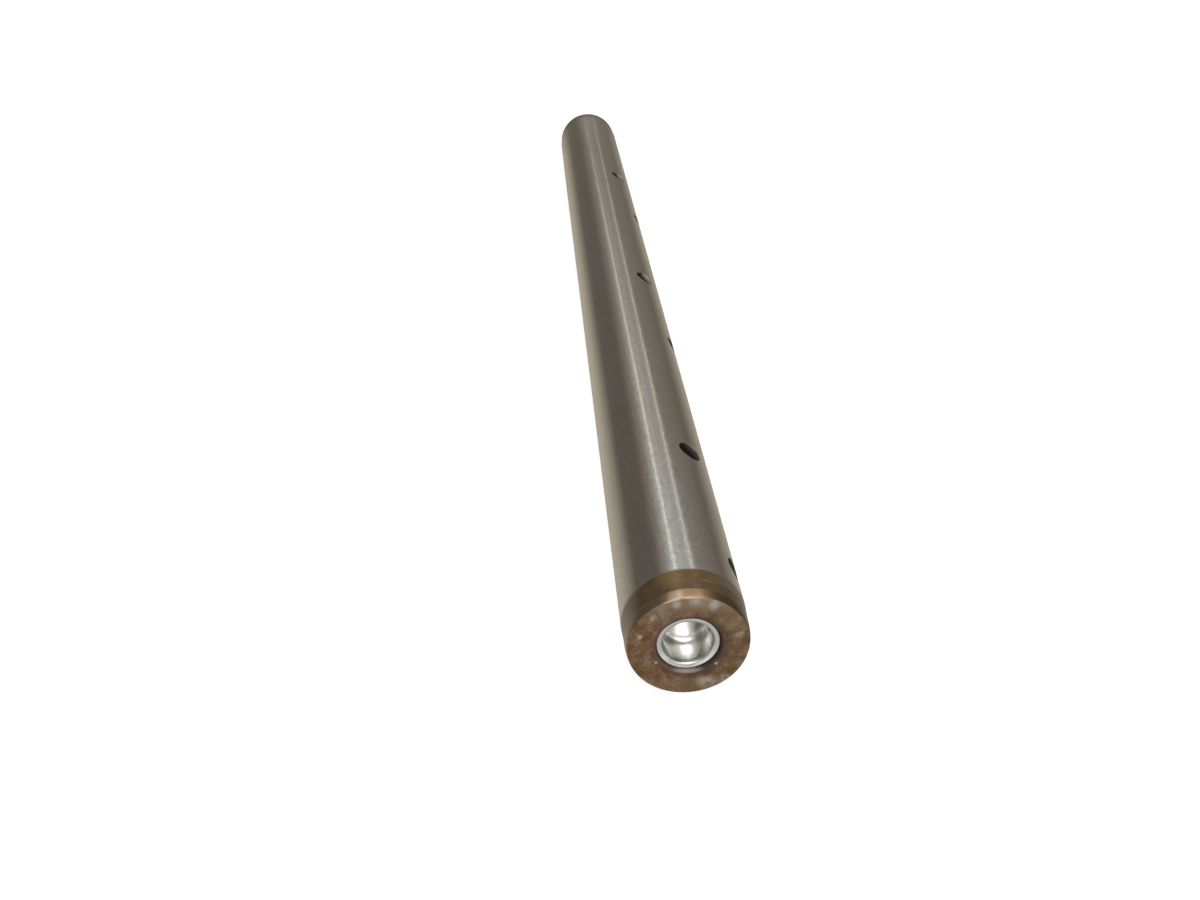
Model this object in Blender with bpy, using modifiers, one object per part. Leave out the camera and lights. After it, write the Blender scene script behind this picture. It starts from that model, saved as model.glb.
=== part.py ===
"""Rocker shaft: a hollow ground shaft with two rows of oil holes and a cup plug in each end.

The shaft lies along Y as it does on a cylinder head, with its near end at -Y and Z up.
The origin is on the axis at half the length. Lengths are in metres, angles in degrees.
"""

import math

import bmesh
import bpy
from mathutils import Euler

# Shaft body
SHAFT_LENGTH = 0.285
SHAFT_DIAMETER = 0.020
GALLERY_DIAMETER = 0.0094

# Turned-down end, from the bearing surface: lead taper, light edge line, land, rounded edge
LEAD_TAPER_LENGTH = 0.0025
LEAD_TAPER_DROP = 0.00016
LAND_LENGTH = 0.0022
LAND_DROP = 0.00004
EDGE_ROUND_LENGTH = 0.0018
EDGE_ROUND_DROP = 0.00040
EDGE_ROUND_START_ANGLE = 20.0

# Oil holes: three for each row, one for each cylinder
CYLINDER_PITCH = 0.084
HOLES_PER_ROW = 3
OIL_HOLE_DIAMETER = 0.0046
OIL_HOLE_CHAMFER = 0.00025
UPPER_ROW_ANGLE = 36.0
LOWER_ROW_ANGLE = 66.0
UPPER_ROW_FROM_NEAR_END = 0.0444
LOWER_ROW_FROM_NEAR_END = 0.013

# Pressed cup plug
PLUG_DIAMETER = 0.0101
PLUG_DEPTH = 0.0064
PLUG_WALL = 0.00105
PLUG_FLOOR = 0.0010
PLUG_INNER_FILLET = 0.0013
PLUG_BELOW_FACE = 0.0006

# Plug seat
FIT_GAP = 0.0003
SEAT_RUNOUT = 0.0004
COUNTERSINK_WIDTH = 0.0004
COUNTERSINK_DEPTH = 0.0005

# Facets
SHAFT_STEPS = 84
PLUG_STEPS = 48
HOLE_STEPS = 32
ROUND_STEPS = 6
SMOOTH_ANGLE = 28.0

# Finishes: base colour, metallic, roughness
GROUND_STEEL = ((0.47, 0.46, 0.44), 1.0, 0.30)
ZINC_PLATE = ((0.66, 0.64, 0.66), 1.0, 0.34)

shaft_radius = SHAFT_DIAMETER / 2
gallery_radius = GALLERY_DIAMETER / 2
plug_radius = PLUG_DIAMETER / 2
seat_radius = plug_radius + FIT_GAP
seat_depth = PLUG_BELOW_FACE + PLUG_DEPTH + SEAT_RUNOUT
half_length = SHAFT_LENGTH / 2
end_band_length = LEAD_TAPER_LENGTH + LAND_LENGTH + EDGE_ROUND_LENGTH
edge_line_radius = shaft_radius - LEAD_TAPER_DROP
face_radius = edge_line_radius - LAND_DROP - EDGE_ROUND_DROP


def clear_scene():
    for obj in list(bpy.data.objects):
        bpy.data.objects.remove(obj, do_unlink=True)


def new_collection(name):
    collection = bpy.data.collections.new(name)
    bpy.context.scene.collection.children.link(collection)
    return collection


def new_material(name, finish):
    colour, metallic, roughness = finish
    material = bpy.data.materials.new(name)
    material.use_nodes = True
    shader = material.node_tree.nodes["Principled BSDF"]
    shader.inputs["Base Color"].default_value = (*colour, 1.0)
    shader.inputs["Metallic"].default_value = metallic
    shader.inputs["Roughness"].default_value = roughness
    material.diffuse_color = (*colour, 1.0)
    return material


def arc(centre, radius, start, end, steps):
    """Points on a quarter round in the profile plane. radius is (across, along)."""
    points = []
    for step in range(steps + 1):
        angle = math.radians(start + (end - start) * step / steps)
        across = centre[0] + radius[0] * math.cos(angle)
        along = centre[1] + radius[1] * math.sin(angle)
        points.append((across, along))
    return points


def turned(name, profile, steps, closed, collection):
    """Revolves (radius, height) points about local Z with a Screw modifier."""
    mesh = bpy.data.meshes.new(name)
    shape = bmesh.new()
    points = [shape.verts.new((radius, 0.0, height)) for radius, height in profile]
    for start, end in zip(points, points[1:]):
        shape.edges.new((start, end))
    if closed:
        shape.edges.new((points[-1], points[0]))
    shape.to_mesh(mesh)
    shape.free()
    obj = bpy.data.objects.new(name, mesh)
    collection.objects.link(obj)
    screw = obj.modifiers.new("Turn", "SCREW")
    screw.steps = steps
    screw.render_steps = steps
    screw.use_merge_vertices = True
    screw.merge_threshold = 0.00001
    screw.use_smooth_shade = True
    return obj


def settle(obj, material):
    """Keeps the finished mesh, shaded smooth with its real edges sharp."""
    bpy.context.view_layer.update()
    graph = bpy.context.evaluated_depsgraph_get()
    mesh = bpy.data.meshes.new_from_object(obj.evaluated_get(graph))
    obj.modifiers.clear()
    obj.data = mesh
    mesh.name = obj.name
    mesh.shade_smooth()
    mesh.set_sharp_from_angle(angle=math.radians(SMOOTH_ANGLE))
    mesh.materials.clear()
    mesh.materials.append(material)


def near_end_outside():
    """The turned-down end, from the face edge to the bearing surface. Height counts back from the face."""
    start = math.radians(EDGE_ROUND_START_ANGLE)
    across = EDGE_ROUND_DROP / math.cos(start)
    along = EDGE_ROUND_LENGTH / (1 - math.sin(start))
    edge = arc((face_radius, -along), (across, along), 90.0, EDGE_ROUND_START_ANGLE, ROUND_STEPS)
    edge_line = (edge_line_radius, -EDGE_ROUND_LENGTH - LAND_LENGTH)
    return edge + [edge_line, (shaft_radius, -end_band_length)]


def near_end_inside():
    """The plug seat, from the gallery to the end face."""
    return [
        (gallery_radius, -seat_depth),
        (seat_radius, -seat_depth),
        (seat_radius, -COUNTERSINK_DEPTH),
        (seat_radius + COUNTERSINK_WIDTH, 0.0),
    ]


def shaft_profile():
    """Closed outline of the tube wall: down the outside, back up through the gallery."""
    outside = [(r, half_length + h) for r, h in near_end_outside()]
    inside = [(r, half_length + h) for r, h in near_end_inside()]
    far_outside = [(r, -h) for r, h in reversed(outside)]
    far_inside = [(r, -h) for r, h in reversed(inside)]
    return outside + far_outside + far_inside + inside


def plug_profile():
    """Section of the pressed cup, mouth up: inner floor, wall, round lip, wall and outer floor."""
    lip_radius = PLUG_WALL / 2
    inner_radius = plug_radius - PLUG_WALL
    outer_fillet = PLUG_INNER_FILLET + PLUG_WALL
    lip_centre = (plug_radius - lip_radius, -lip_radius)
    floor_top = PLUG_FLOOR - PLUG_DEPTH
    inner_centre = (inner_radius - PLUG_INNER_FILLET, floor_top + PLUG_INNER_FILLET)
    outer_centre = (plug_radius - outer_fillet, outer_fillet - PLUG_DEPTH)
    inner = arc(inner_centre, (PLUG_INNER_FILLET, PLUG_INNER_FILLET), -90.0, 0.0, ROUND_STEPS)
    lip = arc(lip_centre, (lip_radius, lip_radius), 180.0, 0.0, 2 * ROUND_STEPS)
    outer = arc(outer_centre, (outer_fillet, outer_fillet), 0.0, -90.0, ROUND_STEPS)
    return [(0.0, floor_top)] + inner + lip + outer + [(0.0, -PLUG_DEPTH)]


def hole_profile():
    """Drill with its chamfer, mouth up at the shaft's surface, reaching the gallery's axis."""
    drill_radius = OIL_HOLE_DIAMETER / 2
    chamfer_start = shaft_radius - OIL_HOLE_CHAMFER
    run_past = 2 * OIL_HOLE_DIAMETER
    flare_radius = drill_radius + OIL_HOLE_CHAMFER + run_past
    return [
        (0.0, shaft_radius + run_past),
        (flare_radius, shaft_radius + run_past),
        (drill_radius, chamfer_start),
        (drill_radius, 0.0),
        (0.0, 0.0),
    ]


def row_stations(first):
    """Distances from the near end of the holes of one row that fall on the bearing surface."""
    last = SHAFT_LENGTH - end_band_length - OIL_HOLE_DIAMETER
    stations = [first + index * CYLINDER_PITCH for index in range(HOLES_PER_ROW)]
    return [station for station in stations if station < last]


def make_shaft(parts, cutters, material):
    shaft = turned("shaft_tube", shaft_profile(), SHAFT_STEPS, True, parts)
    shaft.rotation_euler = Euler((math.radians(90.0), 0.0, 0.0))
    rows = (
        ("upper", UPPER_ROW_ANGLE, UPPER_ROW_FROM_NEAR_END),
        ("lower", LOWER_ROW_ANGLE, LOWER_ROW_FROM_NEAR_END),
    )
    for row, angle, first in rows:
        for number, station in enumerate(row_stations(first), 1):
            drill = turned(f"drill_{row}_{number}", hole_profile(), HOLE_STEPS, False, cutters)
            drill.location = (0.0, station - half_length, 0.0)
            drill.rotation_euler = Euler((0.0, math.radians(angle), 0.0))
            drill.hide_render = True
            drill.display_type = "WIRE"
            cut = shaft.modifiers.new(f"Drill {row} {number}", "BOOLEAN")
            cut.operation = "DIFFERENCE"
            cut.solver = "EXACT"
            cut.object = drill
    settle(shaft, material)
    return shaft


def make_plug(name, near, parts, material):
    """near is True at the -Y end, where the mouth faces -Y, and False at the other end."""
    plug = turned(name, plug_profile(), PLUG_STEPS, False, parts)
    outward = -1.0 if near else 1.0
    plug.location = (0.0, outward * (half_length - PLUG_BELOW_FACE), 0.0)
    plug.rotation_euler = Euler((math.radians(-90.0 * outward), 0.0, 0.0))
    settle(plug, material)
    return plug


def main():
    clear_scene()
    parts = new_collection("rocker_shaft")
    cutters = new_collection("cutters")
    steel = new_material("ground_steel", GROUND_STEEL)
    zinc = new_material("zinc_plate", ZINC_PLATE)
    make_shaft(parts, cutters, steel)
    make_plug("near_plug", True, parts, zinc)
    make_plug("far_plug", False, parts, zinc)


main()
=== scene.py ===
"""The rocker shaft's looks: a ground tube and two cup plugs, with finishes, floor and lights."""

import math

import bmesh
import bpy
from mathutils import Euler, Matrix, Vector


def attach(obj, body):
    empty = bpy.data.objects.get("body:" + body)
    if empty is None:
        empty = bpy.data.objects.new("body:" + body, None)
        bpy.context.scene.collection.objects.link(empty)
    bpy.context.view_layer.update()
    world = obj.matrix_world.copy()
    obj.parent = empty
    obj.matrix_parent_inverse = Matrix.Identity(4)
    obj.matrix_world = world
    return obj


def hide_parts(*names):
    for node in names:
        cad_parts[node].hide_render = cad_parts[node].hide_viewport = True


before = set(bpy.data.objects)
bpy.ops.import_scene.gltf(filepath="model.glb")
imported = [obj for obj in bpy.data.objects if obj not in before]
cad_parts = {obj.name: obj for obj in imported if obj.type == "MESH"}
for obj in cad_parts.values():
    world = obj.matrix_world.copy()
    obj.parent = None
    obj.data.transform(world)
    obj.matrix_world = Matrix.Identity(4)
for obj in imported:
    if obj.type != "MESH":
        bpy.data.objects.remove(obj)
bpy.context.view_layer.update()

# Shaft, in metres. Stations are distances from an end face
SHAFT_RADIUS = 0.010
HALF_LENGTH = 0.1425
GALLERY_RADIUS = 0.0047
BAND_START = 0.0065
EDGE_LINE = 0.0040
EDGE_LINE_RADIUS = 0.00984
ROUND_START = 0.0018
ROUND_RADIUS = 0.00980
ROUND_START_ANGLE = 20.0
ROUND_STEPS = 14
FACE_RADIUS = 0.00940
SEAT_RADIUS = 0.00507
SEAT_DEPTH = 0.0074
COUNTERSINK_RADIUS = 0.00560
COUNTERSINK_DEPTH = 0.0004
RING_SPACING = 0.008
SHAFT_STEPS = 256

# Oil holes: angle from the top towards +X, and first station
OIL_ROWS = ((36.0, 0.0444), (66.0, 0.013))
HOLES_PER_ROW = 3
CYLINDER_PITCH = 0.084
DRILL_RADIUS = 0.0024
DRILL_CHAMFER = 0.00015
DRILL_CONE_RISE = 2 * DRILL_RADIUS
DRILL_STEPS = 72

# Punch marks beside each plug: how far out, how wide, how deep, and at which angles
PUNCH_REACH = 0.00585
PUNCH_RADIUS = 0.00040
PUNCH_DEPTH = 0.00014
PUNCH_HEIGHT = 4 * PUNCH_DEPTH
PUNCH_TIP_SHARE = 0.2
PUNCH_STEPS = 24
PUNCH_ANGLES = (130.4, 238.0)

# Cup plug
PLUG_RADIUS = 0.00505
PLUG_BELOW_FACE = 0.0006
PLUG_DEPTH = 0.0064
PLUG_WALL = 0.00105
PLUG_FLOOR = 0.0010
PLUG_FILLET = 0.0013
LIP_INNER_ROUND = 0.00075
LIP_FLATNESS = 0.7
PLUG_STEPS = 192
ARC_STEPS = 10

# Eased corners, the least distance that counts, and the angle below which faces meet smoothly
EASE = 0.00005
FACE_EASE = 0.00009
TINY = 0.000001
SMOOTH_ANGLE = 28.0

# Noise patterns: scale, detail, stretch and roughness
EVEN = (1.0, 1.0, 1.0)
CLOUD = (38.0, 3.0, (1.0, 0.45, 1.0), 0.5)
HUE = (260.0, 2.0, (1.0, 0.4, 1.0), 0.5)
GRAIN = (1700.0, 3.0, (1.0, 0.4, 1.0), 0.7)
RINGS = (900.0, 4.0, (0.02, 4.0, 0.02), 0.7)
SCRATCHES = (1300.0, 3.0, (1.0, 0.005, 1.0), 0.6)
BLOTCH = (420.0, 4.0, EVEN, 0.6)
DRIFT = (170.0, 2.0, EVEN, 0.5)
SPOTS = (620.0, 4.0, EVEN, 0.6)
PATCHES = (330.0, 2.0, EVEN, 0.5)
FLECKS = (1900.0, 3.0, EVEN, 0.65)
PLATE_CLOUD = (300.0, 2.0, EVEN, 0.5)
RELIEF_DEPTH = 0.000004

# Places on the steel: centre, size and softness
# Place of a painted golden highlight on the band
GOLDEN_HIGHLIGHT_PLACE = ((-0.0030, 0.0052 - HALF_LENGTH, 0.0095), 0.0034, 0.2)
WORN_EDGE_PLACE = ((-0.0024, 0.0008 - HALF_LENGTH, 0.0092), 0.0016, 0.3)
LIGHTER_PLACE = ((0.0060, -HALF_LENGTH, 0.0046), 0.0030, 0.2)
# Place of a ring of painted shade round the plug
SHADE_RING_PLACE = ((0.0003, -HALF_LENGTH, -0.0002), 0.0066, 0.86)
RUST_PLACE = ((0.0073, 0.0702, 0.0068), 0.0017, 0.3)

# Pale worn patches on the near face: x, z and size
WORN_PATCHES = (
    (0.0006, 0.0086, 0.0012),
    (0.0036, 0.0080, 0.0014),
    (-0.0022, 0.0082, 0.0010),
    (-0.0056, 0.0058, 0.0009),
    (0.0031, -0.0073, 0.0020),
    (-0.0076, 0.0022, 0.0006),
    (0.0078, 0.0018, 0.0010),
    (0.0060, -0.0068, 0.0014),
)
PATCH_SOFTNESS = 0.2
PUNCH_MARK_SIZE = 0.00042
PUNCH_MARK_SOFTNESS = 0.5

# Tones of the bearing surface
GROUND_PALE = (0.470, 0.462, 0.448)
GROUND_DULL = (0.450, 0.436, 0.424)
GROUND_GREEN = (0.425, 0.440, 0.410)
GROUND_PINK = (0.460, 0.425, 0.425)
# Cooler tint over the near end; along its top it is a painted reflection tint
GROUND_COOL = (0.465, 0.485, 0.505)
GROUND_GRAIN = (0.36, 0.348, 0.332)

# Tones of the heat-tinted band and its edge line
BAND_DARK = (0.112, 0.076, 0.040)
BAND_LIGHT = (0.160, 0.112, 0.062)
BAND_OCHRE = (0.165, 0.105, 0.040)
# Painted golden highlight, painted reflection on the left flank, and painted shade on the right side
# with its grey tone past the edge line
BAND_GOLDEN_HIGHLIGHT = (0.215, 0.150, 0.062)
BAND_LEFT_REFLECTION = (0.215, 0.185, 0.165)
BAND_RIGHT_SHADE = (0.098, 0.066, 0.045)
BAND_UPPER_RIGHT = (0.208, 0.174, 0.144)
BAND_FAR = (0.205, 0.198, 0.158)
# Painted highlight on the edge line
LINE_HIGHLIGHT = (0.36, 0.29, 0.21)

# Tones of the rounded edge
# Copper kept along the top as a painted highlight; painted reflection on the left and painted shade on
# the right
COPPER_HIGHLIGHT = (0.36, 0.225, 0.130)
COPPER_DULL = (0.32, 0.25, 0.19)
EDGE_SIDES = (0.175, 0.122, 0.083)
EDGE_LEFT_REFLECTION = (0.285, 0.238, 0.192)
EDGE_RIGHT_SHADE = (0.100, 0.068, 0.047)
EDGE_WORN = (0.47, 0.40, 0.34)
EDGE_FAR = (0.225, 0.220, 0.180)
# Bare corner with a painted highlight
CORNER_HIGHLIGHT = (0.59, 0.465, 0.340)

# Tones of the end faces
FACE_BROWN = (0.112, 0.072, 0.024)
FACE_RED = (0.140, 0.050, 0.020)
FACE_RUST = (0.205, 0.118, 0.052)
FACE_PATCH = (0.215, 0.145, 0.085)
FACE_SPOT = (0.310, 0.238, 0.175)
FACE_FLECK = (0.072, 0.040, 0.020)
FACE_TOP = (0.310, 0.245, 0.180)
FACE_BOTTOM = (0.260, 0.195, 0.145)
FACE_LIGHTER = (0.250, 0.165, 0.105)
FACE_WORN = (0.44, 0.395, 0.365)
# Ring of painted shade round the plug; punch marks of bare metal lightened as a painted glint
FACE_SHADE_RING = (0.062, 0.036, 0.034)
PUNCH_BARE_GLINT = (0.40, 0.33, 0.29)

# Tones of the drillings, the gallery and the countersink round the plug, with painted light and shade in
# the drillings and on the countersink
# Painted shade on the drilling walls, painted light on their right, and painted black shade deeper in
DRILL_WALL_SHADE = (0.060, 0.051, 0.041)
DRILL_LIT_NEAR = (0.120, 0.108, 0.092)
DRILL_LIT_FAR = (0.48, 0.43, 0.37)
GALLERY_SHADE = (0.014, 0.012, 0.011)
COLLAR_LEFT = (0.145, 0.090, 0.080)
# Painted shade on the right of the countersink, and a paler flecked tone below the plug
COLLAR_RIGHT_SHADE = (0.074, 0.048, 0.046)
COLLAR_PALE_BELOW = (0.40, 0.38, 0.36)
RUST = (0.40, 0.29, 0.15)

# Tones of the plating, with painted highlights, reflections and shade on the lip and inside the cup
PLATE_PALE = (0.755, 0.78, 0.80)
PLATE_DULL = (0.705, 0.73, 0.75)
LIP_UPPER = (0.59, 0.62, 0.64)
# Painted highlight on the lower lip, and painted shade on its inner round
LIP_LOWER_HIGHLIGHT = (0.93, 0.98, 1.00)
LIP_INNER_SHADE = (0.55, 0.575, 0.585)
# Painted highlights and reflections on the lower wall and floor, and painted shade on the sides and
# corners inside the cup
WALL_LOWER_LEFT_HIGHLIGHT = (0.96, 0.95, 0.90)
WALL_LOWER_RIGHT_HIGHLIGHT = (0.98, 0.975, 0.95)
WALL_RIGHT_SHADE = (0.32, 0.32, 0.31)
CUP_RIGHT_SHADE = (0.56, 0.56, 0.54)
CUP_FLOOR_LEFT_SHADE = (0.32, 0.325, 0.335)
CUP_FLOOR_MIDDLE_HIGHLIGHT = (0.97, 0.975, 0.98)
CUP_CORNER_LEFT_SHADE = (0.42, 0.425, 0.435)
CUP_CORNER_RIGHT_SHADE = (0.30, 0.305, 0.310)
# Painted shade just inside the lip
UNDER_LIP_SHADE = (0.42, 0.42, 0.405)

# Floor and room
FLOOR_LEVEL = -0.010
FLOOR_SIZE = 16.0
# The floor's painted pool of light and painted lighter front, seen by every ray but the camera's
PAPER_AWAY = (0.28, 0.270, 0.232)
PAPER_CLOSE = (0.775, 0.748, 0.655)
PAPER_IN_FRONT = (0.74, 0.765, 0.80)
PAPER_SEEN = (0.36, 0.37, 0.39, 1.0)
PAPER_GLOW = 0.86
POOL_FALL = 625.0
WHITE = (1.0, 1.0, 1.0)
ROOM_WARM = (1.14, 1.0, 0.84, 1.0)
ROOM_SEEN = (0.97, 0.97, 0.97, 1.0)

# Strips over the shaft: name, near end, far end, width, radiance, colour and spread
OVERHEADS = (
    ("panel", (0.02, -0.6, 1.02), (0.14, 5.4, 1.02), 0.90, 0.25, (0.95, 1.0, 1.0), 152.0),
    ("left_tube", (-0.132, -0.6, 1.00), (-0.120, 5.4, 1.00), 0.045, 2.25, (1.0, 0.96, 0.78), 152.0),
    ("right_tube", (0.373, -0.6, 0.98), (0.60, 5.4, 0.98), 0.045, 1.8, (1.0, 0.96, 0.80), 160.0),
    ("middle_tube", (0.06, -0.6, 0.99), (0.10, 5.4, 0.99), 0.10, 0.18, (0.96, 1.0, 1.0), 154.0),
)

# Lights aimed at the shaft's middle: name, place, size, radiance and colour
LAMPS = (
    ("key", (0.05, -1.25, 1.15), (0.56, 0.5), 11.2, WHITE),
    ("fill", (0.50, -1.15, 0.45), (0.5, 0.5), 1.3, (1.0, 0.98, 0.92)),
    ("top", (0.0, 0.1, 2.2), (2.6, 1.6), 0.15, WHITE),
)

# Camera
CAMERA_PLACE = (-0.0219, -0.2714, 0.1130)
CAMERA_RIGHT = (0.99793, -0.06467, 0.0)
CAMERA_UP = (0.0332, 0.5128, 0.8579)
CAMERA_BACK = (-0.0555, -0.8561, 0.5139)
SENSOR_WIDTH = 36.0
LENS = 33.17
LENS_SHIFT = -0.0006


def deselect():
    if bpy.context.object and bpy.context.object.mode != "OBJECT":
        bpy.ops.object.mode_set(mode="OBJECT")
    bpy.ops.object.select_all(action="DESELECT")


def only(piece):
    """Selects one piece alone and makes it the active one."""
    deselect()
    piece.select_set(True)
    bpy.context.view_layer.objects.active = piece


def name_piece(piece, name):
    piece.name = name
    piece.data.name = name
    return piece


def smooth(piece):
    only(piece)
    bpy.ops.object.shade_smooth_by_angle(angle=math.radians(SMOOTH_ANGLE))
    return piece


def arc(centre, across, along, start, end, steps=ARC_STEPS):
    """Points of a quarter round, as (radius, y)."""
    points = []
    for step in range(steps + 1):
        angle = math.radians(start + (end - start) * step / steps)
        points.append((centre[0] + across * math.cos(angle), centre[1] + along * math.sin(angle)))
    return points


def eased(before, corner, after, size=EASE):
    """A corner with its sharp edge taken off: three points in place of one."""
    corner = Vector(corner)
    start = corner + (Vector(before) - corner).normalized() * size
    end = corner + (Vector(after) - corner).normalized() * size
    middle = (start + end + 2 * corner) / 4
    return [tuple(start), tuple(middle), tuple(end)]


def turn(name, section, steps):
    """Draws a section of (radius, y) points by extruding a vertex, then spins it round the axis."""
    deselect()
    first = section[0]
    bpy.ops.mesh.primitive_plane_add(size=EASE, location=(0.0, first[1], first[0]))
    piece = bpy.context.object
    bpy.ops.object.transform_apply(location=True, rotation=True, scale=True)
    bpy.ops.object.mode_set(mode="EDIT")
    bpy.ops.mesh.select_all(action="SELECT")
    bpy.ops.mesh.merge(type="CENTER")
    for start, end in zip(section, section[1:]):
        move = (0.0, end[1] - start[1], end[0] - start[0])
        bpy.ops.mesh.extrude_region_move(TRANSFORM_OT_translate={"value": move})
    bpy.ops.mesh.select_all(action="SELECT")
    bpy.ops.mesh.spin(steps=steps, angle=2 * math.pi, center=(0.0, 0.0, 0.0), axis=(0.0, 1.0, 0.0))
    bpy.ops.mesh.select_all(action="SELECT")
    bpy.ops.mesh.remove_doubles(threshold=TINY)
    bpy.ops.mesh.normals_make_consistent(inside=False)
    bpy.ops.object.mode_set(mode="OBJECT")
    return name_piece(piece, name)


def end_outside():
    """Outside of one end as (radius, distance from the face), from the face to the bearing surface."""
    start = math.radians(ROUND_START_ANGLE)
    across = (ROUND_RADIUS - FACE_RADIUS) / math.cos(start)
    along = ROUND_START / (1 - math.sin(start))
    edge = arc((FACE_RADIUS, along), across, -along, 90.0, ROUND_START_ANGLE, ROUND_STEPS)
    line = (EDGE_LINE_RADIUS, EDGE_LINE)
    band = (SHAFT_RADIUS, BAND_START)
    body = (SHAFT_RADIUS, BAND_START + RING_SPACING)
    face = eased((SEAT_RADIUS, 0.0), edge[0], edge[1], FACE_EASE)
    shoulder = eased(edge[-2], edge[-1], line)
    return face + edge[2:-1] + shoulder + eased(edge[-1], line, band) + eased(line, band, body)


def end_inside():
    """Inside of one end as (radius, distance from the face), from the gallery to the face."""
    gallery = (GALLERY_RADIUS, SEAT_DEPTH + RING_SPACING)
    step = (GALLERY_RADIUS, SEAT_DEPTH)
    bottom = (SEAT_RADIUS, SEAT_DEPTH)
    throat = (SEAT_RADIUS, COUNTERSINK_DEPTH)
    mouth = (COUNTERSINK_RADIUS, 0.0)
    face = (FACE_RADIUS, 0.0)
    inside = eased(gallery, step, bottom) + eased(step, bottom, throat)
    return inside + eased(bottom, throat, mouth) + eased(throat, mouth, face)


def shaft_section():
    """Closed section of the tube wall: the near end outside, along to the far end, and back inside."""
    outside = [(r, s - HALF_LENGTH) for r, s in end_outside()]
    inside = [(r, s - HALF_LENGTH) for r, s in end_inside()]
    count = round(2 * (HALF_LENGTH - BAND_START) / RING_SPACING)
    first = outside[-1][1]
    rings = [(SHAFT_RADIUS, first - 2 * first * step / count) for step in range(1, count)]
    first = inside[0][1]
    bore = [(GALLERY_RADIUS, -first + 2 * first * step / count) for step in range(1, count)]
    far_outside = [(r, -y) for r, y in reversed(outside)]
    far_inside = [(r, -y) for r, y in reversed(inside)]
    return outside + rings + far_outside + far_inside + bore + inside + outside[:1]


def make_drill(angle, station):
    """A drill with its countersink, reaching the middle of the gallery."""
    deselect()
    depth = SHAFT_RADIUS - DRILL_CHAMFER
    bpy.ops.mesh.primitive_cylinder_add(
        vertices=DRILL_STEPS, radius=DRILL_RADIUS, depth=depth, location=(0.0, 0.0, depth / 2))
    drill = bpy.context.object
    bpy.ops.object.transform_apply(location=True, rotation=True, scale=True)
    bpy.ops.object.mode_set(mode="EDIT")
    shape = bmesh.from_edit_mesh(drill.data)
    for face in shape.faces:
        face.select_set(face.calc_center_median().z > depth - TINY)
    bmesh.update_edit_mesh(drill.data)
    rise = (0.0, 0.0, DRILL_CONE_RISE)
    bpy.ops.mesh.extrude_region_move(TRANSFORM_OT_translate={"value": rise})
    widen = (DRILL_RADIUS + DRILL_CONE_RISE) / DRILL_RADIUS
    bpy.ops.transform.resize(value=(widen, widen, 1.0), center_override=(0.0, 0.0, 0.0))
    bpy.ops.object.mode_set(mode="OBJECT")
    drill.rotation_euler = Euler((0.0, math.radians(angle), 0.0))
    drill.location = (0.0, station - HALF_LENGTH, 0.0)
    bpy.ops.object.transform_apply(location=True, rotation=True, scale=True)
    return drill


def punch_place(angle, end):
    """Middle of a punch mark. end is -1 for the near face and 1 for the far one."""
    turned = math.radians(angle)
    return PUNCH_REACH * math.sin(turned), end * HALF_LENGTH, PUNCH_REACH * math.cos(turned)


def make_punch(angle, end):
    """A punch with its tip towards the shaft's middle, standing over one end face."""
    deselect()
    width = PUNCH_RADIUS * PUNCH_HEIGHT / PUNCH_DEPTH
    lift = Vector((0.0, end * (PUNCH_HEIGHT / 2 - PUNCH_DEPTH), 0.0))
    bpy.ops.mesh.primitive_cone_add(
        vertices=PUNCH_STEPS, radius1=width * PUNCH_TIP_SHARE, radius2=width, depth=PUNCH_HEIGHT,
        location=Vector(punch_place(angle, end)) + lift, rotation=(math.radians(-90.0 * end), 0.0, 0.0))
    punch = bpy.context.object
    bpy.ops.object.transform_apply(location=True, rotation=True, scale=True)
    return punch


def cut(piece, tool):
    """Cuts a tool's shape out of a piece and throws the tool away."""
    only(piece)
    modifier = piece.modifiers.new("Cut", "BOOLEAN")
    modifier.operation = "DIFFERENCE"
    modifier.solver = "EXACT"
    modifier.object = tool
    bpy.ops.object.modifier_apply(modifier=modifier.name)
    bpy.data.objects.remove(tool, do_unlink=True)


def make_shaft():
    shaft = turn("ground_shaft", shaft_section(), SHAFT_STEPS)
    for angle, first in OIL_ROWS:
        for number in range(HOLES_PER_ROW):
            cut(shaft, make_drill(angle, first + number * CYLINDER_PITCH))
    for end in (-1, 1):
        for angle in PUNCH_ANGLES:
            cut(shaft, make_punch(angle, end))
    return smooth(shaft)


def plug_section():
    """Section of the pressed cup as (radius, depth below its mouth): inner floor, wall, lip, outside."""
    inner = PLUG_RADIUS - PLUG_WALL
    lip_outer_round = PLUG_WALL - LIP_INNER_ROUND
    crest = PLUG_RADIUS - lip_outer_round
    lip_height = LIP_INNER_ROUND * LIP_FLATNESS
    outer_fillet = PLUG_FILLET + PLUG_WALL
    outer_centre = (PLUG_RADIUS - outer_fillet, PLUG_DEPTH - outer_fillet)
    floor = PLUG_DEPTH - PLUG_FLOOR
    inside = arc((inner - PLUG_FILLET, floor - PLUG_FILLET), PLUG_FILLET, PLUG_FILLET, 90.0, 0.0)
    lip = arc((crest, lip_height), LIP_INNER_ROUND, -lip_height, 180.0, 90.0)
    edge = arc((crest, lip_outer_round), lip_outer_round, -lip_outer_round, 90.0, 0.0)
    outside = arc(outer_centre, outer_fillet, outer_fillet, 0.0, 90.0)
    return [(0.0, floor)] + inside + lip + edge[1:] + outside + [(0.0, PLUG_DEPTH)]


def make_plug(name, end):
    """end is -1 for the near plug and 1 for the far one."""
    section = [(r, end * (HALF_LENGTH - PLUG_BELOW_FACE - depth)) for r, depth in plug_section()]
    return smooth(turn(name, section, PLUG_STEPS))


def as_colour(value):
    return (*value, 1.0) if isinstance(value, tuple) and len(value) == 3 else value


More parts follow.
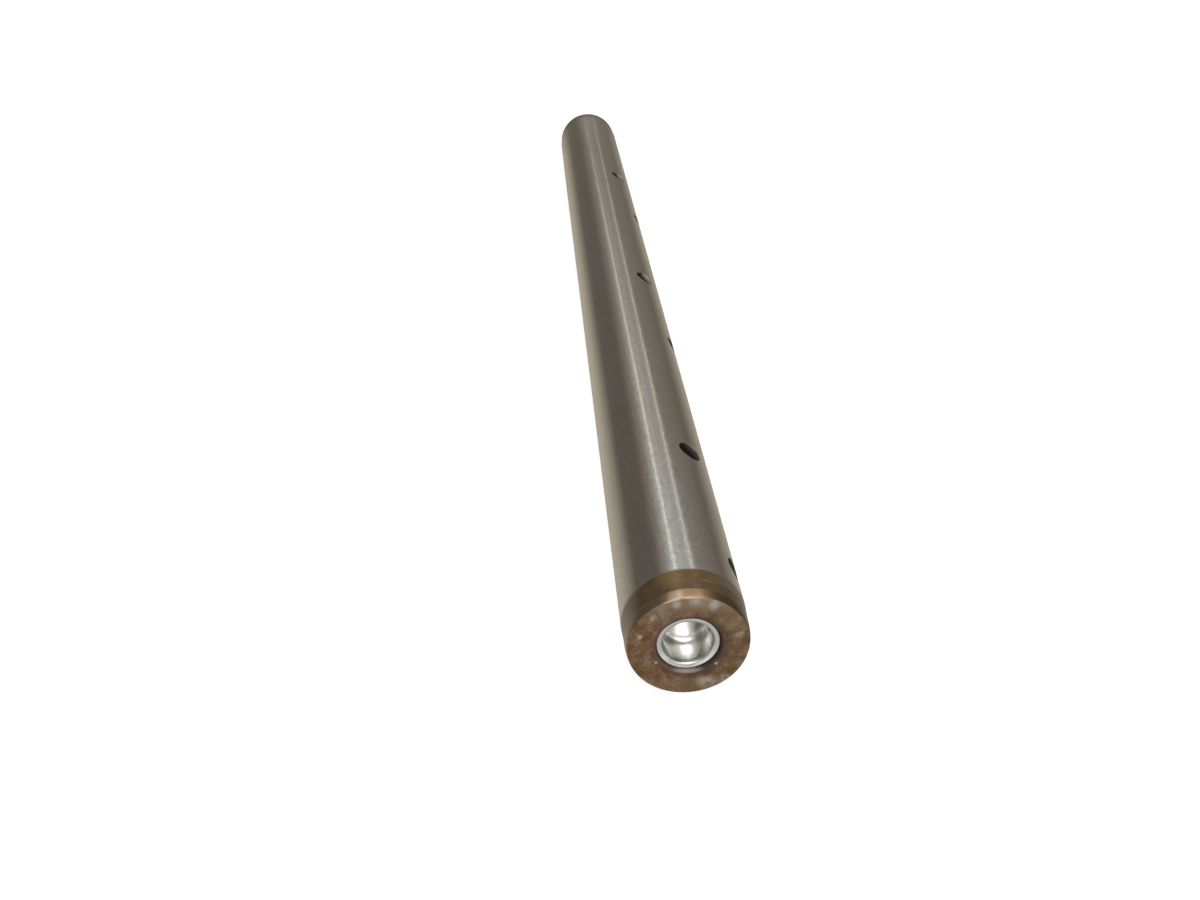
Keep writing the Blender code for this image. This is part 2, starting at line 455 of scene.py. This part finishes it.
class Value:
    """A number that varies over a surface, so that shader maths reads as plain expressions."""

    def __init__(self, finish, socket):
        self.finish = finish
        self.socket = socket

    def math(self, operation, *values):
        return self.finish.math(operation, *values)

    def __add__(self, other):
        return self.math("ADD", self, other)

    def __radd__(self, other):
        return self.math("ADD", other, self)

    def __sub__(self, other):
        return self.math("SUBTRACT", self, other)

    def __rsub__(self, other):
        return self.math("SUBTRACT", other, self)

    def __mul__(self, other):
        return self.math("MULTIPLY", self, other)

    def __rmul__(self, other):
        return self.math("MULTIPLY", other, self)

    def __truediv__(self, other):
        return self.math("DIVIDE", self, other)

    def __rtruediv__(self, other):
        return self.math("DIVIDE", other, self)

    def __abs__(self):
        return self.math("ABSOLUTE", self)

    def __pow__(self, power):
        return self.math("POWER", self, power)


class Nodes:
    """A node tree, with short ways to add to it. place says which coordinates x, y and z are."""

    def __init__(self, tree, place):
        self.tree = tree
        self.place = self.node("ShaderNodeTexCoord", output=place)
        split = self.add("ShaderNodeSeparateXYZ", None, {0: self.place})
        self.x, self.y, self.z = (Value(self, socket) for socket in split.outputs)

    def feed(self, socket, value):
        if isinstance(value, Value):
            self.tree.links.new(value.socket, socket)
        else:
            socket.default_value = value

    def add(self, kind, settings=None, sockets=None):
        """Adds a node: settings first, then the values or links of its sockets."""
        node = self.tree.nodes.new(kind)
        for name, value in (settings or {}).items():
            setattr(node, name, value)
        for name, value in (sockets or {}).items():
            self.feed(node.inputs[name], value)
        return node

    def node(self, kind, settings=None, sockets=None, output=0):
        """Adds a node and gives one of its outputs."""
        return Value(self, self.add(kind, settings, sockets).outputs[output])

    def math(self, operation, *values):
        return self.node("ShaderNodeMath", {"operation": operation}, dict(enumerate(values)))

    def vector_math(self, operation, vector, other, output=0):
        return self.node("ShaderNodeVectorMath", {"operation": operation}, {0: vector, 1: other}, output)

    def from_axis(self):
        """Distance from the Y axis."""
        return (self.x * self.x + self.z * self.z) ** 0.5

    def step(self, value, start, end):
        """Rises smoothly from 0 where value is start to 1 where it is end."""
        return self.node(
            "ShaderNodeMapRange", {"interpolation_type": "SMOOTHSTEP"},
            {"Value": value, "From Min": start, "From Max": end})

    def between(self, value, start, full, full_end, end):
        """Rises from 0 at start to 1 at full, and falls again from full_end to end."""
        return self.step(value, start, full) * self.step(value, end, full_end)

    def mix(self, factor, colour, other):
        sockets = {0: factor, 6: as_colour(colour), 7: as_colour(other)}
        return self.node("ShaderNodeMix", {"data_type": "RGBA"}, sockets, 2)

    def layered(self, colour, *layers):
        """Lays tones over a colour, each given as (how much of it shows, tone)."""
        for shown, tone in layers:
            colour = self.mix(shown, colour, tone)
        return colour

    def noise(self, scale, detail, stretch, roughness):
        vector = self.vector_math("MULTIPLY", self.place, stretch)
        sockets = {"Vector": vector, "Scale": scale, "Detail": detail, "Roughness": roughness}
        return self.node("ShaderNodeTexNoise", None, sockets, "Fac")

    def spot(self, centre, size, softness):
        """1 near a point and 0 beyond size."""
        away = self.vector_math("DISTANCE", self.place, centre, "Value")
        return self.step(away, size, size * softness)

    def bump(self, height, distance):
        sockets = {"Height": height, "Distance": distance, "Strength": 1.0}
        return self.node("ShaderNodeBump", None, sockets)

    def camera_sees(self, shown, otherwise):
        """A shader that only the camera sees, and another for everything else. Both are sockets."""
        camera = self.node("ShaderNodeLightPath", None, None, "Is Camera Ray")
        sockets = {0: camera, 1: Value(self, otherwise), 2: Value(self, shown)}
        return self.node("ShaderNodeMixShader", None, sockets)


class Finish(Nodes):
    """A material with a Principled shader."""

    def __init__(self, name):
        self.material = bpy.data.materials.new(name)
        self.material.use_nodes = True
        super().__init__(self.material.node_tree, "Object")
        self.shader = self.tree.nodes["Principled BSDF"]

    def set(self, **sockets):
        for name, value in sockets.items():
            self.feed(self.shader.inputs[name.replace("_", " ")], as_colour(value))


class SteelFinish(Finish):
    """Ground steel with heat-tinted ends, drillings in painted shade and light, and bare punch marks
    lightened as a painted glint.
    """

    def __init__(self):
        super().__init__("ground and heat-tinted steel")
        self.from_face = HALF_LENGTH - abs(self.y)
        self.radius = self.from_axis()
        self.near_end = self.step(self.y, 0.055 - HALF_LENGTH, 0.020 - HALF_LENGTH)
        self.far_end = self.step(self.y, HALF_LENGTH - 0.012, HALF_LENGTH - 0.004)
        self.rings = self.noise(*RINGS)
        self.blotch = self.noise(*BLOTCH)
        self.drift = self.noise(*DRIFT)
        self.spots = self.noise(*SPOTS)
        self.flecks = self.noise(*FLECKS)

    def ground(self):
        """Bearing surface: clouded, faintly green and pink, and cooler over the near end, most of all
        along its top as a painted reflection tint.
        """
        hue = self.noise(*HUE)
        cool_top_reflection = self.near_end * self.step(abs(self.x), 0.0042, 0.0022)
        return self.layered(
            GROUND_PALE,
            (self.step(self.noise(*CLOUD), 0.35, 0.65), GROUND_DULL),
            (self.step(hue, 0.42, 0.34) * 0.6, GROUND_GREEN),
            (self.step(hue, 0.58, 0.66) * 0.6, GROUND_PINK),
            (cool_top_reflection * 0.7 + self.near_end * 0.25, GROUND_COOL),
            (self.step(self.noise(*GRAIN), 0.35, 0.65) * 0.5, GROUND_GRAIN))

    def band(self):
        """Heat-tinted band: a painted golden highlight at the top left, a painted reflection greying the
        left, and greyer at the far end.

        On the right, painted shade makes it dark up to the edge line, and it is grey past it.
        """
        upper_land = self.step(self.from_face, EDGE_LINE - 0.0002, EDGE_LINE + 0.0004)
        right_shading = self.mix(upper_land, BAND_RIGHT_SHADE, BAND_UPPER_RIGHT)
        return self.layered(
            BAND_DARK,
            (self.step(self.blotch, 0.35, 0.7), BAND_LIGHT),
            (self.step(self.drift, 0.40, 0.60) * 0.7, BAND_OCHRE),
            (self.spot(*GOLDEN_HIGHLIGHT_PLACE) * 0.7, BAND_GOLDEN_HIGHLIGHT),
            (self.step(self.x, 0.0025, 0.0070) * 0.7, right_shading),
            (self.step(self.x, -0.0070, -0.0088) * 0.6, BAND_LEFT_REFLECTION),
            (self.far_end * 0.75, BAND_FAR))

    def edge_line_highlight(self):
        """Painted highlight along the edge line across the top of the band, broken up by noise."""
        on_line = self.step(abs(self.from_face - EDGE_LINE), 0.00016, 0.00005)
        at_top = self.step(abs(self.x - 0.0012), 0.0045, 0.0020)
        return on_line * self.step(self.spots, 0.40, 0.60) * at_top

    def rounded_edge(self):
        """Copper along the top as a painted highlight, darker down the sides, painted shade on the
        right, painted reflection on the left, and one worn place.
        """
        return self.layered(
            COPPER_HIGHLIGHT,
            (self.step(self.blotch, 0.45, 0.62), COPPER_DULL),
            (self.step(self.z, 0.0097, 0.0080), EDGE_SIDES),
            (self.step(self.x, 0.0012, 0.0050) * 0.9, EDGE_RIGHT_SHADE),
            (self.step(self.x, -0.0024, -0.0056) * 0.5, EDGE_LEFT_REFLECTION),
            (self.spot(*WORN_EDGE_PLACE) * 0.8, EDGE_WORN),
            (self.far_end * 0.85, EDGE_FAR))

    def corner_highlight(self):
        """Bare corner at the top of the end face with a painted highlight, fading to the right."""
        corner = self.step(self.radius, FACE_RADIUS - 0.00022, FACE_RADIUS - 0.0001)
        corner = self.step(self.from_face, 0.00022, 0.00010) * corner
        bare = corner * self.step(self.z, 0.0082, 0.0090) * self.step(self.spots, 0.38, 0.52)
        return bare * (1 - 0.8 * self.step(self.x, -0.0002, 0.0022))

    def end_face(self):
        """Brown oxide with paler spots, worn patches, a ring of painted shade round the plug, and punch
        marks of bare metal lightened as a painted glint.
        """
        face = self.layered(
            FACE_BROWN,
            (self.step(self.drift, 0.42, 0.58), FACE_RED),
            (self.step(self.blotch, 0.38, 0.62) * 0.8, FACE_RUST),
            (self.step(self.noise(*PATCHES), 0.44, 0.66) * 0.55, FACE_PATCH),
            (self.step(self.spots, 0.46, 0.66) * 0.55, FACE_SPOT),
            (self.step(self.flecks, 0.38, 0.62) * 0.45, FACE_FLECK),
            (self.step(self.z, 0.0050, 0.0090) * 0.55, FACE_TOP),
            (self.step(self.z, -0.0050, -0.0090) * 0.35, FACE_BOTTOM),
            (self.spot(*LIGHTER_PLACE) * 0.45, FACE_LIGHTER))
        mottled = self.step(self.spots, 0.26, 0.56)
        for x, z, size in WORN_PATCHES:
            worn = self.spot((x, -HALF_LENGTH, z), size, PATCH_SOFTNESS) * mottled
            face = self.mix(worn * 0.8, face, FACE_WORN)
        face = self.mix(self.spot(*SHADE_RING_PLACE) * 0.6, face, FACE_SHADE_RING)
        for angle in PUNCH_ANGLES:
            for end in (-1, 1):
                mark = self.spot(punch_place(angle, end), PUNCH_MARK_SIZE, PUNCH_MARK_SOFTNESS)
                face = self.mix(mark, face, PUNCH_BARE_GLINT)
        return face

    def drilling(self):
        """Walls in painted shade, with painted light on the right in the upper row, more so far along,
        and painted shade going black deeper in and in the gallery.
        """
        angle = self.math("ARCTAN2", self.x, self.z)
        right_wall = self.between(angle, 0.50, 0.72, 0.88, 0.90)
        lit = self.mix(self.step(self.y, -0.09, -0.03), DRILL_LIT_NEAR, DRILL_LIT_FAR)
        deep = self.step(self.radius, 0.0100, 0.0088)
        return self.layered(DRILL_WALL_SHADE, (right_wall, lit), (deep, GALLERY_SHADE))

    def collar(self):
        """Countersink round the plug: dark, darker on the right as painted shade, and paler and flecked
        below the plug.
        """
        below_plug = self.step(self.z, -0.0044, -0.0054) * self.step(abs(self.x), 0.0036, 0.0016)
        return self.layered(
            COLLAR_LEFT,
            (self.step(self.x, -0.003, 0.001), COLLAR_RIGHT_SHADE),
            (below_plug * (0.4 + 0.8 * self.flecks), COLLAR_PALE_BELOW))

    def dress(self):
        """Puts each tone in its zone and sets how metallic, rough and uneven the zones are."""
        fade = 0.0003 + 0.0009 * self.step(self.x, -0.004, -0.009)
        in_band = self.step((self.from_face - BAND_START) / fade, 0.5, -1.0)
        in_round = self.step(self.from_face, ROUND_START + 0.0001, ROUND_START - 0.0001)
        punched = 0.0002 * self.step(self.radius, FACE_RADIUS - 0.0004, FACE_RADIUS - 0.0008)
        on_face = self.step(self.from_face - punched, 0.00012, 0.00006)
        in_bore = self.step(self.radius, 0.00998, 0.00994) * (1 - in_band)
        in_collar = self.step(self.radius, COUNTERSINK_RADIUS, SEAT_RADIUS + 0.0002) * in_band
        colour = self.layered(
            self.ground(),
            (in_band, self.band()),
            (self.edge_line_highlight() * 0.6, LINE_HIGHLIGHT),
            (in_round, self.rounded_edge()),
            (on_face, self.end_face()),
            (self.corner_highlight(), CORNER_HIGHLIGHT),
            (in_bore, self.drilling()),
            (in_collar, self.collar()),
            (self.spot(*RUST_PLACE) * 0.9, RUST))
        metallic = 1 - 0.35 * in_band + 0.2 * in_round - 0.35 * on_face - 0.7 * in_bore
        soft = 0.08 * self.step(self.y, 0.090, HALF_LENGTH) + 0.012 * self.near_end
        roughness = 0.150 + 0.06 * self.rings + soft + 0.16 * in_band - 0.08 * in_round
        roughness = roughness + 0.20 * on_face + 0.35 * in_bore + 0.4 * in_collar
        marks = (self.rings * 0.14 + self.noise(*SCRATCHES) * 0.3) * (1 - on_face)
        relief = self.bump(marks + self.blotch * in_band * 2.0, RELIEF_DEPTH)
        self.set(Base_Color=colour, Metallic=metallic, Roughness=roughness, Normal=relief)
        return self.material


class PlateFinish(Finish):
    """Dull bright plating on pressed sheet, with a painted highlight below and painted shade on the
    sides and under the lip.
    """

    def __init__(self):
        super().__init__("dull bright plating")
        self.depth = HALF_LENGTH - PLUG_BELOW_FACE - abs(self.y)
        self.radius = self.from_axis()
        self.lip = self.step(self.depth, 0.0007, 0.0004)
        self.on_wall = self.step(self.radius, 0.0031, 0.0037) * (1 - self.lip)

    def lip_tone(self):
        """Rolled lip: a painted highlight below, and painted shade on the lower part of its inner round.
        """
        inner = self.step(self.radius, 0.00475, 0.00445) * self.step(self.x, 0.0020, 0.0008)
        return self.layered(
            LIP_UPPER,
            (self.step(self.z, -0.0004, -0.0040), LIP_LOWER_HIGHLIGHT),
            (inner * self.step(self.z, -0.0024, -0.0036), LIP_INNER_SHADE))

    def under_lip_shade(self):
        """Painted shade in a strip just inside the lip, wider on both sides."""
        aside = self.step(self.x, 0.0012, 0.0034) + self.step(self.x, -0.0024, -0.0040)
        below = self.step(self.depth, 0.0012 + 0.0032 * aside, 0.0008 + 0.0022 * aside)
        return self.step(self.depth, 0.0004, 0.0007) * below

    def dress(self):
        """Puts each tone in its zone: painted highlights and shade inside the cup. The corner is the
        round between the cup's floor and its wall.
        """
        cloud = self.noise(*PLATE_CLOUD)
        inside = 1 - self.lip
        lower_left = self.step(self.x, 0.0010, -0.0008) * self.step(self.z, 0.0006, -0.0010)
        lower_right = self.between(self.x, -0.0002, 0.0006, 0.0016, 0.0026)
        lower_right = lower_right * self.step(self.z, 0.0, -0.0010)
        right = self.step(self.x, 0.0008, 0.0026)
        right_side = self.step(self.x, 0.0020, 0.0028) * self.step(self.z, -0.0034, -0.0022)
        floor_left = self.step(self.x, -0.0008, -0.0020) * (1 - self.on_wall)
        floor_middle = self.between(self.x, -0.0004, 0.0004, 0.0012, 0.0022)
        on_floor = self.step(self.depth, 0.0046, 0.0052)
        below_wall = self.step(self.depth, 0.0036, 0.0044)
        corner_left = self.between(self.x, -0.0038, -0.0022, -0.0020, -0.0010)
        corner_right = self.step(self.x, 0.0014, 0.0024)
        colour = self.layered(
            PLATE_PALE,
            (self.step(cloud, 0.35, 0.65), PLATE_DULL),
            (self.lip, self.lip_tone()),
            (lower_left * self.on_wall * 0.9, WALL_LOWER_LEFT_HIGHLIGHT),
            (floor_left * inside * 0.9, CUP_FLOOR_LEFT_SHADE),
            (right * inside * 0.7, CUP_RIGHT_SHADE),
            (lower_right * self.on_wall, WALL_LOWER_RIGHT_HIGHLIGHT),
            (floor_middle * on_floor * 0.9, CUP_FLOOR_MIDDLE_HIGHLIGHT),
            (corner_left * below_wall * 0.6, CUP_CORNER_LEFT_SHADE),
            (corner_right * below_wall * 0.6, CUP_CORNER_RIGHT_SHADE),
            (right_side * self.on_wall * 0.7, WALL_RIGHT_SHADE),
            (self.under_lip_shade() * 0.85, UNDER_LIP_SHADE))
        self.set(Base_Color=colour, Metallic=1.0, Roughness=0.285 + 0.06 * cloud)
        return self.material


def finish_piece(piece, material, node):
    piece.data.materials.clear()
    piece.data.materials.append(material)
    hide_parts(node)
    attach(piece, "root")


def make_floor():
    """A pale floor. Other rays see a painted pool of light round the shaft, painted shade on its right
    and further along, and a painted lighter patch in front. The camera sees it almost white.
    """
    deselect()
    bpy.ops.mesh.primitive_plane_add(size=FLOOR_SIZE, location=(0.0, 0.0, FLOOR_LEVEL))
    floor = name_piece(bpy.context.object, "studio_floor")
    paper = Finish("white paper")
    pool = 1 / (1 + POOL_FALL * paper.x * paper.x)
    pool = pool * (1 - 0.40 * paper.step(paper.x, 0.0, 0.02))
    pool = pool * (1 - 0.22 * paper.step(paper.y, -0.05, 0.25))
    in_front = paper.step(paper.y, -0.140, -0.165)
    tone = paper.layered(PAPER_AWAY, (pool, PAPER_CLOSE), (in_front, PAPER_IN_FRONT))
    paper.set(Base_Color=tone, Roughness=0.9)
    paper.shader.inputs["Specular IOR Level"].default_value = 0.1
    seen = paper.node("ShaderNodeBsdfDiffuse", None, {"Color": PAPER_SEEN})
    glow = paper.node("ShaderNodeEmission", None, {"Color": as_colour(WHITE), "Strength": PAPER_GLOW})
    bright = paper.node("ShaderNodeAddShader", None, {0: seen, 1: glow})
    surface = paper.tree.nodes["Material Output"].inputs["Surface"]
    paper.feed(surface, paper.camera_sees(bright.socket, paper.shader.outputs[0]))
    floor.data.materials.append(paper.material)


def make_light(name, place, size, radiance, colour, spread=180.0):
    """A flat soft light. size is (across, along) and radiance is how bright its face looks."""
    data = bpy.data.lights.new(name, "AREA")
    data.shape = "RECTANGLE"
    data.size, data.size_y = size
    data.color = colour
    data.energy = radiance * math.pi * size[0] * size[1]
    data.spread = math.radians(spread)
    light = bpy.data.objects.new(name, data)
    bpy.context.scene.collection.objects.link(light)
    light.location = place
    light.visible_camera = False
    return light


def make_overhead(name, near, far, width, radiance, colour, spread):
    """A strip facing straight down, along the line from near to far."""
    near, far = Vector(near), Vector(far)
    size = (width, (far - near).length)
    light = make_light(name, (near + far) / 2, size, radiance, colour, spread)
    light.rotation_euler = Euler((0.0, 0.0, -math.atan2(far.x - near.x, far.y - near.y)))


def make_lamp(name, place, size, radiance, colour):
    """A light aimed at the shaft's middle."""
    light = make_light(name, place, size, radiance, colour)
    light.rotation_euler = Vector(place).to_track_quat("Z", "Y").to_euler()


def make_room():
    """A warm dim room, brighter overhead and darker on the left. The camera sees it almost white."""
    world = bpy.data.worlds.new("room")
    bpy.context.scene.world = world
    world.use_nodes = True
    room = Nodes(world.node_tree, "Generated")
    side = room.x / room.from_axis()
    left = room.step(side, -0.42, -0.72)
    right = 0.02 * room.step(side, 0.5, 0.9)
    across = 1 - 0.7 * room.step(room.x, 0.05, -0.35) + 0.5 * room.step(room.x, 0.15, 0.50)
    behind = room.step(room.y, -0.1, -0.4) * across
    level = (0.16 + 0.38 * room.z) * (1 - left) + 0.17 * left + 0.22 * behind + right
    around = room.tree.nodes["Background"]
    around.inputs["Color"].default_value = ROOM_WARM
    room.feed(around.inputs["Strength"], level)
    pale = room.node("ShaderNodeBackground", None, {"Color": ROOM_SEEN})
    surface = room.tree.nodes["World Output"].inputs["Surface"]
    room.feed(surface, room.camera_sees(pale.socket, around.outputs[0]))


def make_camera():
    data = bpy.data.cameras.new("camera")
    data.sensor_fit = "HORIZONTAL"
    data.sensor_width = SENSOR_WIDTH
    data.lens = LENS
    data.shift_x = LENS_SHIFT
    camera = bpy.data.objects.new("camera", data)
    bpy.context.scene.collection.objects.link(camera)
    turned = Matrix((CAMERA_RIGHT, CAMERA_UP, CAMERA_BACK)).transposed().to_4x4()
    camera.matrix_world = Matrix.Translation(CAMERA_PLACE) @ turned
    bpy.context.scene.camera = camera
    bpy.context.scene.view_settings.view_transform = "Standard"


steel = SteelFinish().dress()
plate = PlateFinish().dress()
finish_piece(make_shaft(), steel, "shaft_tube")
finish_piece(make_plug("near_cup_plug", -1), plate, "near_plug")
finish_piece(make_plug("far_cup_plug", 1), plate, "far_plug")
make_floor()
for overhead in OVERHEADS:
    make_overhead(*overhead)
for lamp in LAMPS:
    make_lamp(*lamp)
make_room()
make_camera()
deselect()
